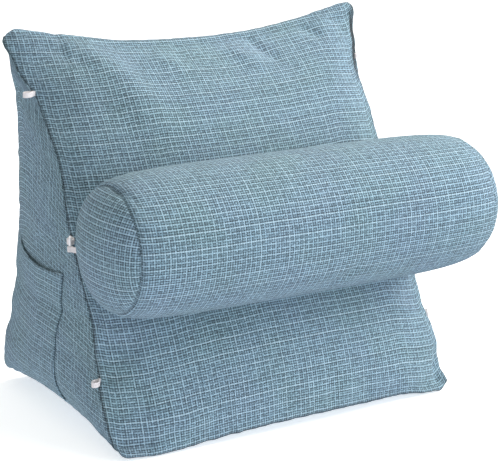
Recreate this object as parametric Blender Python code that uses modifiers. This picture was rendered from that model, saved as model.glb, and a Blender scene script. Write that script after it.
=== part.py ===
"""Bed wedge pillow: a stuffed triangular back wedge with a neck roll hooked across its front.

Metres, +Z up. The origin is on the floor, under the middle of the wedge's base. The front faces -Y.
"""
import math
from collections import namedtuple

import bmesh
import bpy
from mathutils import Vector

# Wedge, corner to corner
WIDTH = 0.450
TOP_WIDTH = 0.470
DEPTH = 0.297
HEIGHT = 0.438
TOP_LEAN = 0.060
TOP_DIP = 0.025
TOP_ROLL = 0.018
TOP_EAR = 0.010
TOP_ROUND = 0.30
TOP_EASE = 1.25
BACK_LIFT = 0.008

# How fast a change fades with distance: from the floor, from the top and from the side seams
FLOOR_FADE = 4
FOOT_FADE = 12
TOP_FADE = 3
TOP_ROUND_FADE = 8
BOW_FADE = 4
SIDE_CROWN_FADE = 5
ARCH_FADE = 3
BASE_FRONT_FADE = 2

# How far each stuffed panel swells beyond its seams
FRONT_CROWN = 0.041
BACK_CROWN = 0.030
SIDE_CROWN = 0.012
BASE_CROWN = 0.022
FULLNESS = 0.62
SIDE_FULLNESS = 0.85
BASE_FULLNESS = 1.0
BASE_ARCH = 0.014
FRONT_EDGE_SWELL = 0.012
FRONT_RIGHT_SPREAD = 0.008
BACK_EDGE_TUCK = 0.012

# Cuts across the wedge's width, depth and height
WEDGE_CUTS = (26, 12, 28)
EDGE_CROWDING = 0.55

# The side seams between the corners, from the floor up. Each row is a height as a share of the
# seam, then how far the front seam is drawn in and bowed forward there, then the back seam's draw
SeamStation = namedtuple("SeamStation", "height front_draw front_bow back_draw")
SIDE_SEAM = (
    SeamStation(0.00, 0.000, 0.000, 0.001),
    SeamStation(0.04, 0.003, -0.008, -0.004),
    SeamStation(0.12, 0.001, -0.002, -0.002),
    SeamStation(0.21, 0.007, -0.002, 0.007),
    SeamStation(0.32, 0.011, 0.006, 0.014),
    SeamStation(0.52, 0.012, 0.007, 0.018),
    SeamStation(0.70, 0.019, 0.011, 0.018),
    SeamStation(0.83, 0.017, 0.001, 0.016),
    SeamStation(0.92, 0.007, -0.004, 0.010),
    SeamStation(1.00, 0.000, 0.000, 0.000),
)

# The front panel's two level edges, from left to right. Each row is a place across the panel, then
# how far the top edge rises there and how high the bottom seam stands off the floor
EdgeStation = namedtuple("EdgeStation", "across top_rise foot_lift")
LEVEL_EDGES = (
    EdgeStation(-1.00, 0.0050, 0.0060),
    EdgeStation(-0.94, 0.0095, 0.0030),
    EdgeStation(-0.80, 0.0075, 0.0010),
    EdgeStation(-0.66, 0.0035, 0.0030),
    EdgeStation(-0.51, 0.0028, 0.0062),
    EdgeStation(-0.37, 0.0015, 0.0090),
    EdgeStation(-0.08, 0.0010, 0.0112),
    EdgeStation(0.21, -0.0010, 0.0112),
    EdgeStation(0.43, -0.0020, 0.0098),
    EdgeStation(0.65, -0.0010, 0.0080),
    EdgeStation(0.87, 0.0020, 0.0020),
    EdgeStation(0.94, 0.0030, 0.0010),
    EdgeStation(1.00, 0.0030, 0.0070),
)

# Bolster: a barrel panel between two round end discs
ROLL_RADIUS = 0.0815
ROLL_END_RADIUS = 0.068
ROLL_LEFT = -0.217
ROLL_RIGHT = 0.242
ROLL_DOME = 0.028
ROLL_Y = -0.285 + DEPTH / 2
ROLL_Z = 0.2375
ROLL_TILT = 0.015
ROLL_STEPS = 44
ROLL_RINGS = 26
DOME_RINGS = 6
ROLL_SHOULDER = 5.5
ROLL_GAP = 0.0016
TROUGH_SOFTNESS = 0.010

# Pocket sewn to the rear half of the left side panel, as shares of that panel
CLOTH = 0.0016
SEWN_GAP = 0.0010
POCKET_REAR = 0.93
POCKET_FRONT_LOW = -0.18
POCKET_FRONT_HIGH = -0.62
POCKET_FRONT_BEND = 2.0
POCKET_FOOT = -0.94
POCKET_MOUTH_REAR = -0.09
POCKET_MOUTH_FRONT = -0.17
POCKET_MOUTH_SAG = 0.065
POCKET_GAPE = 0.0075
GAPE_FULLNESS = 1.5
GAPE_FADE = 3
POCKET_CUTS = (14, 12)

# Tape loops in the front side seams: height above the floor, and the way each points, outward and
# back. The bolster's hooks pull the middle ones forward
LoopStation = namedtuple("LoopStation", "height outward back")
SEAM_LOOPS = {
    "left_upper": LoopStation(0.376, 0.98, -0.20),
    "left_middle": LoopStation(0.227, 0.50, -0.87),
    "left_lower": LoopStation(0.082, 0.80, -0.60),
    "right_upper": LoopStation(0.376, 0.98, 0.20),
    "right_middle": LoopStation(0.227, 0.50, -0.87),
    "right_lower": LoopStation(0.082, 0.95, 0.20),
}
SIDES = {"left": -1, "right": 1}
TAPE = 0.0012
LOOP_WIDTH = 0.006
LOOP_REACH = 0.011
LOOP_HALF_GAP = 0.0037
LOOP_SEAM_GAP = 0.0020
LOOP_STEPS = 12
LOOP_CLOSED = 0.86

# Plastic hooks over the middle loops, each on a tape tab from the bolster's end seam
HOOK_THICK = 0.0030
HOOK_SHANK = 0.0125
HOOK_TIP = 0.0055
HOOK_GAP = 0.0005
HOOK_STEPS = 8
TAB_WIDTH = 0.006
TAB_DROP = 0.0067
TAB_CLEAR = 0.0030
TAB_LAYERS = 0.0009


def clear_scene():
    for old in list(bpy.data.objects):
        bpy.data.objects.remove(old, do_unlink=True)


def mix(start, end, share):
    return start + (end - start) * share


def between(table, column, at):
    """A column of a table of stations, eased from each row to the next."""
    for low, high in zip(table, table[1:]):
        if at <= high[0]:
            share = (at - low[0]) / (high[0] - low[0])
            share = share * share * (3 - 2 * share)
            return mix(getattr(low, column), getattr(high, column), share)
    return getattr(table[-1], column)


def swell(across, fullness):
    """1 in the middle of a panel, 0 at its seams; a lower fullness gives a rounder edge."""
    return max(0.0, 1 - across * across) ** fullness


def soft_least(a, b, softness):
    """The lesser of two depths, with the corner where they cross eased."""
    blend = max(softness - abs(a - b), 0) / softness
    return min(a, b) - blend * blend * softness / 4


def roll_radius(x):
    """The bolster's radius at a place along its length."""
    middle = (ROLL_LEFT + ROLL_RIGHT) / 2
    along = min(1.0, abs(x - middle) / (ROLL_RIGHT - middle))
    return mix(ROLL_END_RADIUS, ROLL_RADIUS, math.sqrt(1 - along ** ROLL_SHOULDER))


def roll_axis(x):
    """The bolster's axis, which hangs a little lower at the right."""
    return Vector((x, ROLL_Y, ROLL_Z - ROLL_TILT * x))


FRONT_LOW = Vector((0, -DEPTH / 2, BACK_LIFT))
BACK_LOW = Vector((0, DEPTH / 2, BACK_LIFT))
TOP = Vector((0, DEPTH / 2 - TOP_LEAN, HEIGHT - TOP_EAR / 2))
FRONT_SLOPE = (TOP - FRONT_LOW).normalized()
FRONT_OUT = Vector((0, -FRONT_SLOPE.z, FRONT_SLOPE.y))
BACK_SLOPE = (TOP - BACK_LOW).normalized()
BACK_OUT = Vector((0, BACK_SLOPE.z, -BACK_SLOPE.y))


def room_behind_roll(point):
    """How far the front panel may swell at a point of its seam plane before it meets the bolster."""
    axis = roll_axis(point.x) - point
    reach = roll_radius(point.x) + ROLL_GAP
    aside = axis.dot(FRONT_SLOPE)
    if abs(aside) >= reach:
        return ROLL_RADIUS
    return axis.dot(FRONT_OUT) - math.sqrt(reach * reach - aside * aside)


def wedge_point(across, back, up):
    """Moves a point of the cube from -1 to 1 to its place on the stuffed wedge."""
    rise = (up + 1) / 2
    deep = (back + 1) / 2
    roll_width = mix(TOP_EAR, TOP_ROLL, swell(across, TOP_EASE))
    top_half = Vector((0, roll_width / 2, 0))
    front = FRONT_LOW.lerp(TOP - top_half, rise)
    rear = BACK_LOW.lerp(TOP + top_half, rise)
    front.y -= between(SIDE_SEAM, "front_bow", rise) * abs(across) ** BOW_FADE
    point = front.lerp(rear, deep)

    half_width = mix(WIDTH, TOP_WIDTH, rise) / 2
    draw = mix(between(SIDE_SEAM, "front_draw", rise), between(SIDE_SEAM, "back_draw", rise), deep)
    point.x = across * (half_width - draw)

    low = (1 - rise) ** FLOOR_FADE
    high = rise ** TOP_FADE
    middle = swell(across, 1)
    right = (across + 1) / 2
    point.z += BASE_ARCH * swell(back, 1) * abs(across) ** ARCH_FADE * low
    point.z -= TOP_DIP * swell(across, TOP_EASE) * high
    point.z += between(LEVEL_EDGES, "top_rise", across) * high
    foot = between(LEVEL_EDGES, "foot_lift", across) - BACK_LIFT
    point.z += foot * (1 - deep) ** BASE_FRONT_FADE * (1 - rise) ** FOOT_FADE
    point.z += TOP_ROUND * roll_width * swell(back, 1) * rise ** TOP_ROUND_FADE
    point.y -= (FRONT_EDGE_SWELL * swell(across, FULLNESS) + FRONT_RIGHT_SPREAD * right) * (1 - deep) * low
    point.y -= BACK_EDGE_TUCK * middle * deep * low

    front_crown = FRONT_CROWN * swell(across, FULLNESS) * swell(up, FULLNESS)
    front_crown = soft_least(front_crown, room_behind_roll(point), TROUGH_SOFTNESS)
    back_crown = BACK_CROWN * swell(across, FULLNESS) * swell(up, FULLNESS)
    side_crown = SIDE_CROWN * swell(back, SIDE_FULLNESS) * swell(up, SIDE_FULLNESS)
    base_crown = BASE_CROWN * swell(across, BASE_FULLNESS) * swell(back, BASE_FULLNESS)
    if back == -1:
        point += FRONT_OUT * max(0.0, front_crown)
    point += BACK_OUT * back_crown * deep
    point.x += math.copysign(side_crown, across) * abs(across) ** SIDE_CROWN_FADE
    point.z = max(0.0, point.z - base_crown * (1 - rise))
    return point


def crowd(place):
    """Draws a cube's cuts towards its edges, where the panels turn fastest."""
    return mix(place, math.sin(place * math.pi / 2), EDGE_CROWDING)


def material(name, colour, roughness):
    made = bpy.data.materials.new(name)
    made.use_nodes = True
    shader = made.node_tree.nodes["Principled BSDF"]
    shader.inputs["Base Color"].default_value = (*colour, 1)
    shader.inputs["Roughness"].default_value = roughness
    shader.inputs["Metallic"].default_value = 0
    return made


def add_object(name, data, finish, parts):
    piece = bpy.data.objects.new(name, data)
    data.materials.append(finish)
    parts.objects.link(piece)
    return piece


def mesh_from(shape, name):
    mesh = bpy.data.meshes.new(name)
    bmesh.ops.recalc_face_normals(shape, faces=shape.faces)
    shape.to_mesh(mesh)
    shape.free()
    mesh.shade_smooth()
    return mesh


def make_wedge(cloth, parts):
    """The filled wedge: a cube cut into a grid, each point moved to the stuffed shape."""
    shape = bmesh.new()
    bmesh.ops.create_cube(shape, size=2)
    for axis, cuts in enumerate(WEDGE_CUTS):
        along = [edge for edge in shape.edges
                 if abs((edge.verts[0].co - edge.verts[1].co).normalized()[axis]) > 0.99]
        bmesh.ops.subdivide_edges(shape, edges=along, cuts=cuts - 1, use_grid_fill=True)
    for vert in shape.verts:
        across, back, up = (round(value, 5) for value in vert.co)
        vert.co = wedge_point(crowd(across), crowd(back), crowd(up))
    return add_object("wedge_cushion", mesh_from(shape, "wedge_cushion"), cloth, parts)


def bolster_profile():
    """Radius and place along the axis, from the left dome's pole to the right one's."""
    rings = []
    for step in range(DOME_RINGS):
        turn = math.pi / 2 * step / DOME_RINGS
        rings.append((ROLL_END_RADIUS * math.sin(turn), ROLL_LEFT - ROLL_DOME * math.cos(turn)))
    for step in range(ROLL_RINGS + 1):
        place = crowd(2 * step / ROLL_RINGS - 1)
        x = mix(ROLL_LEFT, ROLL_RIGHT, (place + 1) / 2)
        rings.append((roll_radius(x), x))
    for step in range(DOME_RINGS):
        turn = math.pi / 2 * (step + 1) / DOME_RINGS
        rings.append((ROLL_END_RADIUS * math.cos(turn), ROLL_RIGHT + ROLL_DOME * math.sin(turn)))
    return rings


def make_bolster(cloth, parts):
    """The filled neck roll, turned about its length."""
    shape = bmesh.new()
    verts = [shape.verts.new((x, radius, 0)) for radius, x in bolster_profile()]
    for start, end in zip(verts, verts[1:]):
        shape.edges.new((start, end))
    mesh = bpy.data.meshes.new("bolster")
    shape.to_mesh(mesh)
    shape.free()
    roll = add_object("bolster", mesh, cloth, parts)
    roll.location = (0, ROLL_Y, ROLL_Z)
    roll.rotation_euler.y = math.atan(ROLL_TILT)
    turn = roll.modifiers.new("turn", "SCREW")
    turn.axis = "X"
    turn.angle = math.tau
    turn.steps = turn.render_steps = ROLL_STEPS
    turn.use_merge_vertices = True
    turn.merge_threshold = 0.0001
    turn.use_normal_flip = True
    turn.use_smooth_shade = True
    return roll


def pocket_point(along, up):
    """A place on the pocket: along is 0 at the back seam, 1 at the front edge; up is 0 to 1."""
    mouth = mix(POCKET_MOUTH_REAR, POCKET_MOUTH_FRONT, along) - POCKET_MOUTH_SAG * swell(2 * along - 1, 1)
    height = mix(POCKET_FOOT, mouth, up)
    front = mix(POCKET_FRONT_LOW, POCKET_FRONT_HIGH, up ** POCKET_FRONT_BEND)
    point = wedge_point(-1, mix(POCKET_REAR, front, along), height)
    point.x -= SEWN_GAP + POCKET_GAPE * swell(2 * along - 1, GAPE_FULLNESS) * up ** GAPE_FADE
    return point


def make_pocket(cloth, parts):
    """A patch of the cover cloth, sewn down on three edges and gaping at its curved mouth."""
    shape = bmesh.new()
    along, up = POCKET_CUTS
    bmesh.ops.create_grid(shape, x_segments=along, y_segments=up, size=0.5)
    for vert in shape.verts:
        vert.co = pocket_point(vert.co.x + 0.5, vert.co.y + 0.5)
    for face in shape.faces:
        face.normal_update()
        if face.normal.x > 0:
            face.normal_flip()
    mesh = bpy.data.meshes.new("side_pocket")
    shape.to_mesh(mesh)
    shape.free()
    mesh.shade_smooth()
    pocket = add_object("side_pocket", mesh, cloth, parts)
    wall = pocket.modifiers.new("thickness", "SOLIDIFY")
    wall.thickness = CLOTH
    wall.offset = 1
    return pocket


def seam_point(side, height):
    """A point of a front side seam at a height above the floor; side is -1 left, 1 right."""
    low, high = -1.0, 1.0
    for _ in range(30):
        middle = (low + high) / 2
        if wedge_point(side, -1, middle).z < height:
            low = middle
        else:
            high = middle
    return wedge_point(side, -1, low)


def ribbon(name, path, width, finish, parts):
    """A flat tape standing on edge: a level path widened upwards and given its thickness."""
    shape = bmesh.new()
    rows = []
    for place in path:
        rows.append([shape.verts.new(place + Vector((0, 0, width * share))) for share in (-0.5, 0, 0.5)])
    for row, after in zip(rows, rows[1:]):
        for edge in range(2):
            shape.faces.new((row[edge], row[edge + 1], after[edge + 1], after[edge]))
    mesh = bpy.data.meshes.new(name)
    shape.to_mesh(mesh)
    shape.free()
    tape = add_object(name, mesh, finish, parts)
    wall = tape.modifiers.new("thickness", "SOLIDIFY")
    wall.thickness = TAPE
    wall.offset = 0
    return tape


def loop_root(loop_name):
    """Where a loop meets its seam, the way it points from there, and the way across it."""
    loop = SEAM_LOOPS[loop_name]
    side = SIDES[loop_name.split("_")[0]]
    out = Vector((side * loop.outward, loop.back, 0)).normalized()
    return seam_point(side, loop.height), out, Vector((-out.y, out.x, 0))


def loop_path(loop_name):
    """A folded tape, seen from above: out of the seam, round its end and back."""
    seam, out, aside = loop_root(loop_name)
    root = seam + out * (LOOP_SEAM_GAP + TAPE / 2)
    path = []
    for step in range(LOOP_STEPS + 1):
        turn = math.tau * (step / LOOP_STEPS - 0.5) * LOOP_CLOSED
        reach = LOOP_REACH / 2 * (1 + math.cos(turn))
        path.append(root + out * reach + aside * LOOP_HALF_GAP * math.sin(turn))
    return path


def make_loops(tape, parts):
    for loop_name in SEAM_LOOPS:
        ribbon(f"seam_loop_{loop_name}", loop_path(loop_name), LOOP_WIDTH, tape, parts)


def hook_places(side_name):
    """Where a hook's tip and shank stand, either side of the middle loop's outer fold."""
    seam, out, _ = loop_root(f"{side_name}_middle")
    fold = seam + out * (LOOP_SEAM_GAP + TAPE / 2 + LOOP_REACH)
    clear = out * (TAPE / 2 + HOOK_GAP + HOOK_THICK / 2)
    return fold - clear, fold + clear


def make_hooks(plastic, parts):
    """White hooks: a shank, a bight over the loop's fold and a short tip down inside the loop."""
    for side_name in SIDES:
        tip, shank = hook_places(side_name)
        middle = (tip + shank) / 2
        bight = (tip - shank) / 2
        middle.z += LOOP_WIDTH / 2 + HOOK_GAP + HOOK_THICK / 2 - bight.length / 2
        path = [middle + bight - Vector((0, 0, HOOK_TIP))]
        for step in range(HOOK_STEPS + 1):
            turn = math.pi * step / HOOK_STEPS
            path.append(middle + bight * math.cos(turn) + Vector((0, 0, bight.length * math.sin(turn))))
        path.append(middle - bight - Vector((0, 0, HOOK_SHANK)))
        curve = bpy.data.curves.new(f"bolster_hook_{side_name}", "CURVE")
        curve.dimensions = "3D"
        curve.bevel_depth = HOOK_THICK / 2
        curve.bevel_resolution = 2
        curve.use_fill_caps = True
        spline = curve.splines.new("POLY")
        spline.points.add(len(path) - 1)
        for point, place in zip(spline.points, path):
            point.co = (*place, 1)
        add_object(f"bolster_hook_{side_name}", curve, plastic, parts)


def make_tabs(tape, parts):
    """Tapes sewn into the bolster's end seams, each folded round its hook's shank."""
    for side_name, side in SIDES.items():
        shank = hook_places(side_name)[1]
        shank.z -= TAB_DROP
        end = roll_axis(ROLL_LEFT if side < 0 else ROLL_RIGHT)
        drop = end.z - shank.z
        behind = math.sqrt(ROLL_END_RADIUS ** 2 - drop ** 2) + TAB_CLEAR
        root = Vector((end.x, end.y + behind, shank.z))
        run = (shank - root).normalized()
        aside = Vector((-run.y, run.x, 0))
        wrap = HOOK_THICK / 2 + HOOK_GAP + TAPE / 2
        path = [root + aside * TAB_LAYERS]
        for step in range(HOOK_STEPS + 1):
            turn = math.pi * (step / HOOK_STEPS - 0.5)
            path.append(shank + run * wrap * math.cos(turn) - aside * wrap * math.sin(turn))
        path.append(root - aside * TAB_LAYERS)
        ribbon(f"bolster_tab_{side_name}", path, TAB_WIDTH, tape, parts)


def make_all():
    clear_scene()
    parts = bpy.data.collections.new("bed_wedge_pillow")
    bpy.context.scene.collection.children.link(parts)
    cloth = material("cover_cloth", (0.27, 0.42, 0.53), 0.9)
    tape = material("white_tape", (0.82, 0.80, 0.78), 0.8)
    plastic = material("white_plastic", (0.85, 0.85, 0.84), 0.4)
    make_wedge(cloth, parts)
    make_bolster(cloth, parts)
    make_pocket(cloth, parts)
    make_loops(tape, parts)
    make_hooks(plastic, parts)
    make_tabs(tape, parts)


make_all()
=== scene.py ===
"""The looks of the bed wedge pillow: a stuffed back wedge with a neck bolster hooked across it."""

import math
from collections import namedtuple

import bpy
import numpy as np
from mathutils import Matrix, Vector, noise
from mathutils.bvhtree import BVHTree
from mathutils.kdtree import KDTree


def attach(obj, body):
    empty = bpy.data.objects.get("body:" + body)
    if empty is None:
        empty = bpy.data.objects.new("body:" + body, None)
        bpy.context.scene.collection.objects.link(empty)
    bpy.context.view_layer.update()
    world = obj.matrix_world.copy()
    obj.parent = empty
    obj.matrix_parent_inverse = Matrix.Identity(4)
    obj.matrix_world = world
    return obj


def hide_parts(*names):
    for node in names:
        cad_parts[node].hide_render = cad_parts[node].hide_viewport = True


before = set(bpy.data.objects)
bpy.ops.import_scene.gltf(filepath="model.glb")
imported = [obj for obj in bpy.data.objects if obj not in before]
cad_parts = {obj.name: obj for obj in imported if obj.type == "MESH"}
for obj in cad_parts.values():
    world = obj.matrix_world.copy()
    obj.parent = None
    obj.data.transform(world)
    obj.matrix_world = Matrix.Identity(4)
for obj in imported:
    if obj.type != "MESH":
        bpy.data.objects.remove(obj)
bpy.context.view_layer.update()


# Camera: a product shot from the left and a little above, with a long lens. The cushion fills the
# picture.
eye = bpy.data.objects.new("camera", bpy.data.cameras.new("camera"))
eye.data.lens = 126.3
eye.data.sensor_width = 36
eye.location = (-1.0020, -1.7431, 0.7914)
eye.rotation_euler = (math.pi / 2 - 0.28863, 0, -0.53662)
bpy.context.scene.collection.objects.link(eye)
bpy.context.scene.camera = eye


# Cover cloth: a soft tweed, woven one over and one under. Light and dark blue yarns take turns, one in
# twelve is paler both ways and draws the check, and the dye drifts between teal, blue and lavender.
class Field:
    """A number in a material; sums and products of fields add their own Math nodes."""

    def __init__(self, nodes, socket):
        self.nodes = nodes
        self.socket = socket

    def maths(self, operation, *others):
        feeds = dict(enumerate((self, *others)))
        return self.nodes.node("ShaderNodeMath", {"operation": operation}, feeds)

    def __add__(self, other):
        return self.maths("ADD", other)

    def __radd__(self, other):
        return self.maths("ADD", other)

    def __sub__(self, other):
        return self.maths("SUBTRACT", other)

    def __rsub__(self, other):
        return (self * -1).maths("ADD", other)

    def __mul__(self, other):
        return self.maths("MULTIPLY", other)

    def __rmul__(self, other):
        return self.maths("MULTIPLY", other)

    def __truediv__(self, other):
        return self.maths("DIVIDE", other)

    def __pow__(self, other):
        return self.maths("POWER", other)

    def __mod__(self, other):
        return self.maths("FLOORED_MODULO", other)

    def __lt__(self, other):
        return self.maths("LESS_THAN", other)

    def __gt__(self, other):
        return self.maths("GREATER_THAN", other)

    def floor(self):
        return self.maths("FLOOR")

    def part(self):
        return self.maths("FRACT")

    def most(self, other):
        return self.maths("MAXIMUM", other)

    def least(self, other):
        return self.maths("MINIMUM", other)


class Nodes:
    """Adds nodes to a tree one at a time and joins them up."""

    def __init__(self, tree):
        self.tree = tree

    def node(self, kind, settings, feeds, out=0):
        made = self.tree.nodes.new(kind)
        for name, value in settings.items():
            if name == "stops":
                ramp = made.color_ramp
                while len(ramp.elements) < len(value):
                    ramp.elements.new(0.5)
                for stop, (place, colour) in zip(ramp.elements, value):
                    stop.position = place
                    stop.color = colour
            else:
                setattr(made, name, value)
        for name, value in feeds.items():
            self.feed(made.inputs[name], value)
        return Field(self, made.outputs[out])

    def feed(self, socket, value):
        if isinstance(value, Field):
            self.tree.links.new(value.socket, socket)
        else:
            socket.default_value = value

    def blend(self, share, start, end):
        feeds = {0: share, 6: start, 7: end}
        return self.node("ShaderNodeMix", {"data_type": "RGBA"}, feeds, out=2)

    def tint(self, colour, strength):
        """A colour darkened or brightened by a field."""
        grey = self.node("ShaderNodeCombineColor", {}, {0: strength, 1: strength, 2: strength})
        settings = {"data_type": "RGBA", "blend_type": "MULTIPLY"}
        return self.node("ShaderNodeMix", settings, {0: 1.0, 6: colour, 7: grey}, out=2)

    def noise(self, vector, scale, detail=2.0):
        feeds = {"Vector": vector, "Scale": scale, "Detail": detail}
        return self.node("ShaderNodeTexNoise", {}, feeds)

    def chance(self, number):
        """A steady random share for each whole number."""
        return self.node("ShaderNodeTexWhiteNoise", {"noise_dimensions": "1D"}, {"W": number})


class Finish(Nodes):
    """A material built around its Principled shader."""

    def __init__(self, name, **constants):
        self.material = bpy.data.materials.new(name)
        self.material.use_nodes = True
        super().__init__(self.material.node_tree)
        self.shader = self.tree.nodes["Principled BSDF"]
        for socket, value in constants.items():
            self.shader.inputs[socket.replace("_", " ")].default_value = value

    def surface(self, colour, height, distance, roughness=None):
        self.feed(self.shader.inputs["Base Color"], colour)
        if roughness is not None:
            self.feed(self.shader.inputs["Roughness"], roughness)
        bump = self.node("ShaderNodeBump", {}, {"Distance": distance, "Height": height})
        self.feed(self.shader.inputs["Normal"], bump)


WARP_YARN, WEFT_YARN = 0.00148, 0.00146
YARN_WANDER, WANDER_SCALE = 0.0016, 18.0
SLUB_SCALE, DYE_SCALE, WEAVE_RELIEF = 330.0, 12.0, 0.0005
# Which yarn of how many is the palest, and how fast it comes and goes along its length
PALE_YARN, PALE_EVERY, PALE_RUN = 3, 12, 0.022


def hump(share):
    """0 at both edges of a yarn, 1 along its middle; share runs from 0 to 1 across it."""
    off = share * 2 - 1
    return 1 - off * off


def tweed(name):
    cloth = Finish(name, Roughness=0.92, Sheen_Weight=0.12, Sheen_Roughness=0.6, Specular_IOR_Level=0.12)
    weave = cloth.node("ShaderNodeUVMap", {"uv_map": "weave"}, {})
    feeds = {"Vector": weave, "Scale": WANDER_SCALE, "Detail": 1.0}
    drift = cloth.node("ShaderNodeTexNoise", {}, feeds, out=1)
    centred = cloth.node("ShaderNodeVectorMath", {"operation": "SUBTRACT"}, {0: drift, 1: (0.5, 0.5, 0.5)})
    feeds = {0: centred, "Scale": YARN_WANDER}
    uneven = cloth.node("ShaderNodeVectorMath", {"operation": "SCALE"}, feeds)
    laid = cloth.node("ShaderNodeVectorMath", {"operation": "ADD"}, {0: weave, 1: uneven})
    across = cloth.node("ShaderNodeSeparateXYZ", {}, {0: laid}) / WARP_YARN
    along = cloth.node("ShaderNodeSeparateXYZ", {}, {0: laid}, out=1) / WEFT_YARN
    warp, weft = across.floor(), along.floor()
    warp_up = (warp + weft) % 2

    def yarn_light(number, start, pair_light, fading):
        """Light and dark yarns take turns, no two alike. Every second pair is fainter, by the share
        fading, and darker, by pair_light."""
        light = number % 2
        faint = (number % 4) < 1.5
        strength = (1 - fading * faint) * (0.70 + 0.60 * cloth.chance(number + start))
        return (2 * light - 1) * strength - pair_light * (2 * faint - 1)

    def pale(number, start, run):
        """The palest yarns, which draw the check."""
        strength = 0.40 + 0.60 * cloth.chance((number / PALE_EVERY).floor() + start)
        showing = cloth.node("ShaderNodeCombineXYZ", {}, {0: number * 3.7, 1: run * PALE_RUN})
        here = (cloth.noise(showing, 1.0, 1.0) * 2.6 - 0.45).most(0).least(1)
        turn = number % PALE_EVERY
        return (turn > PALE_YARN - 0.5) * (turn < PALE_YARN + 0.5) * strength * here

    slub = cloth.noise(laid, SLUB_SCALE, 2.0)
    dash = cloth.chance(warp * 7.31 + weft * 3.17 + 0.5)
    warp_light, weft_light = yarn_light(warp, 0.25, 0.22, 0.62), yarn_light(weft, 900.25, 0.22, 0.60)
    warp_share = 0.16 + 0.30 * warp_up
    lines = weft_light + (warp_light - weft_light) * warp_share
    light = (0.98 + 0.90 * lines).most(0.32)
    light = light * (0.60 + 0.78 * dash) * (0.78 + 0.44 * slub)
    paleness = pale(warp, 0.5, along) * (0.08 + 0.30 * warp_up)
    paleness += pale(weft, 400.5, across) * (0.62 - 0.34 * warp_up)
    paleness += 0.38 * (light - 1.15).most(0)
    light = light.least(1.55)

    patch = cloth.noise(weave, DYE_SCALE, 2.5)
    dye = cloth.node("ShaderNodeValToRGB", {"stops": (
        (0.36, (0.176, 0.286, 0.332, 1)),
        (0.47, (0.182, 0.290, 0.350, 1)),
        (0.56, (0.182, 0.288, 0.358, 1)),
        (0.66, (0.188, 0.287, 0.362, 1)),
    )}, {0: patch})
    colour = cloth.blend(paleness.least(1), cloth.tint(dye, light), (0.44, 0.60, 0.68, 1))
    # Painted shade: the cloth darkens where the seam attribute is high, in the seams' grooves and at the
    # wedge's ears
    seam = cloth.node("ShaderNodeAttribute", {"attribute_name": "seam"}, {}, out=2)
    colour = cloth.tint(colour, (1 - 0.72 * seam ** 2).most(0.12))
    height = hump(along.part()) + (hump(across.part()) - hump(along.part())) * warp_up
    cloth.surface(colour, height + 0.5 * slub + 0.4 * lines, WEAVE_RELIEF)
    return cloth.material


cover_cloth = tweed("cover_cloth_tweed")


# Wedge: a triangular cover of front, back and base panels and two side gussets, sewn inside out,
# turned and stuffed with fibre. The filling crowns each panel and draws the side seams in.
WIDTH, TOP_WIDTH, DEPTH, HEIGHT = 0.450, 0.470, 0.297, 0.438
TOP_LEAN, BACK_LIFT = 0.060, 0.008
TOP_DIP, TOP_ROLL, TOP_EAR, TOP_ROUND, TOP_EASE = 0.025, 0.018, 0.010, 0.30, 1.25
FRONT_CROWN, BACK_CROWN, SIDE_CROWN, BASE_CROWN = 0.041, 0.030, 0.012, 0.022
FULLNESS, SIDE_FULLNESS, BASE_FULLNESS = 0.62, 0.85, 1.0
BASE_ARCH, FRONT_EDGE_SWELL, FRONT_RIGHT_SPREAD, BACK_EDGE_TUCK = 0.014, 0.012, 0.008, 0.012
# How fast each form dies away from the edge or seam that it belongs to
BOW_FADE, FOOT_FADE, TOP_FADE, ARCH_FADE, LIFT_FADE, ROUND_FADE, SIDE_FADE = 4, 4, 3, 3, 12, 8, 5
WEDGE_CUTS = (80, 36, 76)
EDGE_CROWDING = 0.55

SeamStation = namedtuple("SeamStation", "height front_draw front_bow back_draw")
SIDE_SEAM = (
    SeamStation(0.00, 0.000, 0.000, 0.001),
    SeamStation(0.04, 0.003, -0.008, -0.004),
    SeamStation(0.12, 0.001, -0.002, -0.002),
    SeamStation(0.21, 0.007, -0.002, 0.007),
    SeamStation(0.32, 0.011, 0.006, 0.014),
    SeamStation(0.52, 0.012, 0.007, 0.018),
    SeamStation(0.70, 0.019, 0.011, 0.018),
    SeamStation(0.83, 0.017, 0.001, 0.016),
    SeamStation(0.92, 0.007, -0.004, 0.010),
    SeamStation(1.00, 0.000, 0.000, 0.000),
)

EdgeStation = namedtuple("EdgeStation", "across top_rise foot_lift")
LEVEL_EDGES = (
    EdgeStation(-1.00, 0.0050, 0.0060),
    EdgeStation(-0.94, 0.0095, 0.0030),
    EdgeStation(-0.80, 0.0075, 0.0010),
    EdgeStation(-0.66, 0.0035, 0.0030),
    EdgeStation(-0.51, 0.0028, 0.0062),
    EdgeStation(-0.37, 0.0015, 0.0090),
    EdgeStation(-0.08, 0.0010, 0.0112),
    EdgeStation(0.21, -0.0010, 0.0112),
    EdgeStation(0.43, -0.0020, 0.0098),
    EdgeStation(0.65, -0.0010, 0.0080),
    EdgeStation(0.87, 0.0020, 0.0020),
    EdgeStation(0.94, 0.0030, 0.0010),
    EdgeStation(1.00, 0.0030, 0.0070),
)

# The bolster lies in a trough that it presses in the front panel, so its sizes come here too
ROLL_RADIUS, ROLL_END_RADIUS, ROLL_LEFT, ROLL_RIGHT = 0.0815, 0.068, -0.217, 0.242
ROLL_Y, ROLL_Z, ROLL_TILT, ROLL_SHOULDER = -0.1365, 0.2375, 0.015, 5.5
ROLL_GAP, TROUGH_SOFTNESS = 0.0016, 0.010


def mix(start, end, share):
    return start + (end - start) * share


def between(table, column, at):
    """A column of a table of stations, eased from each row to the next."""
    for low, high in zip(table, table[1:]):
        if at <= high[0]:
            share = (at - low[0]) / (high[0] - low[0])
            share = share * share * (3 - 2 * share)
            return mix(getattr(low, column), getattr(high, column), share)
    return getattr(table[-1], column)


def swell(across, fullness):
    """1 in the middle of a panel, 0 at its seams; a lower fullness gives a rounder edge."""
    return max(0.0, 1 - across * across) ** fullness


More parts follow.
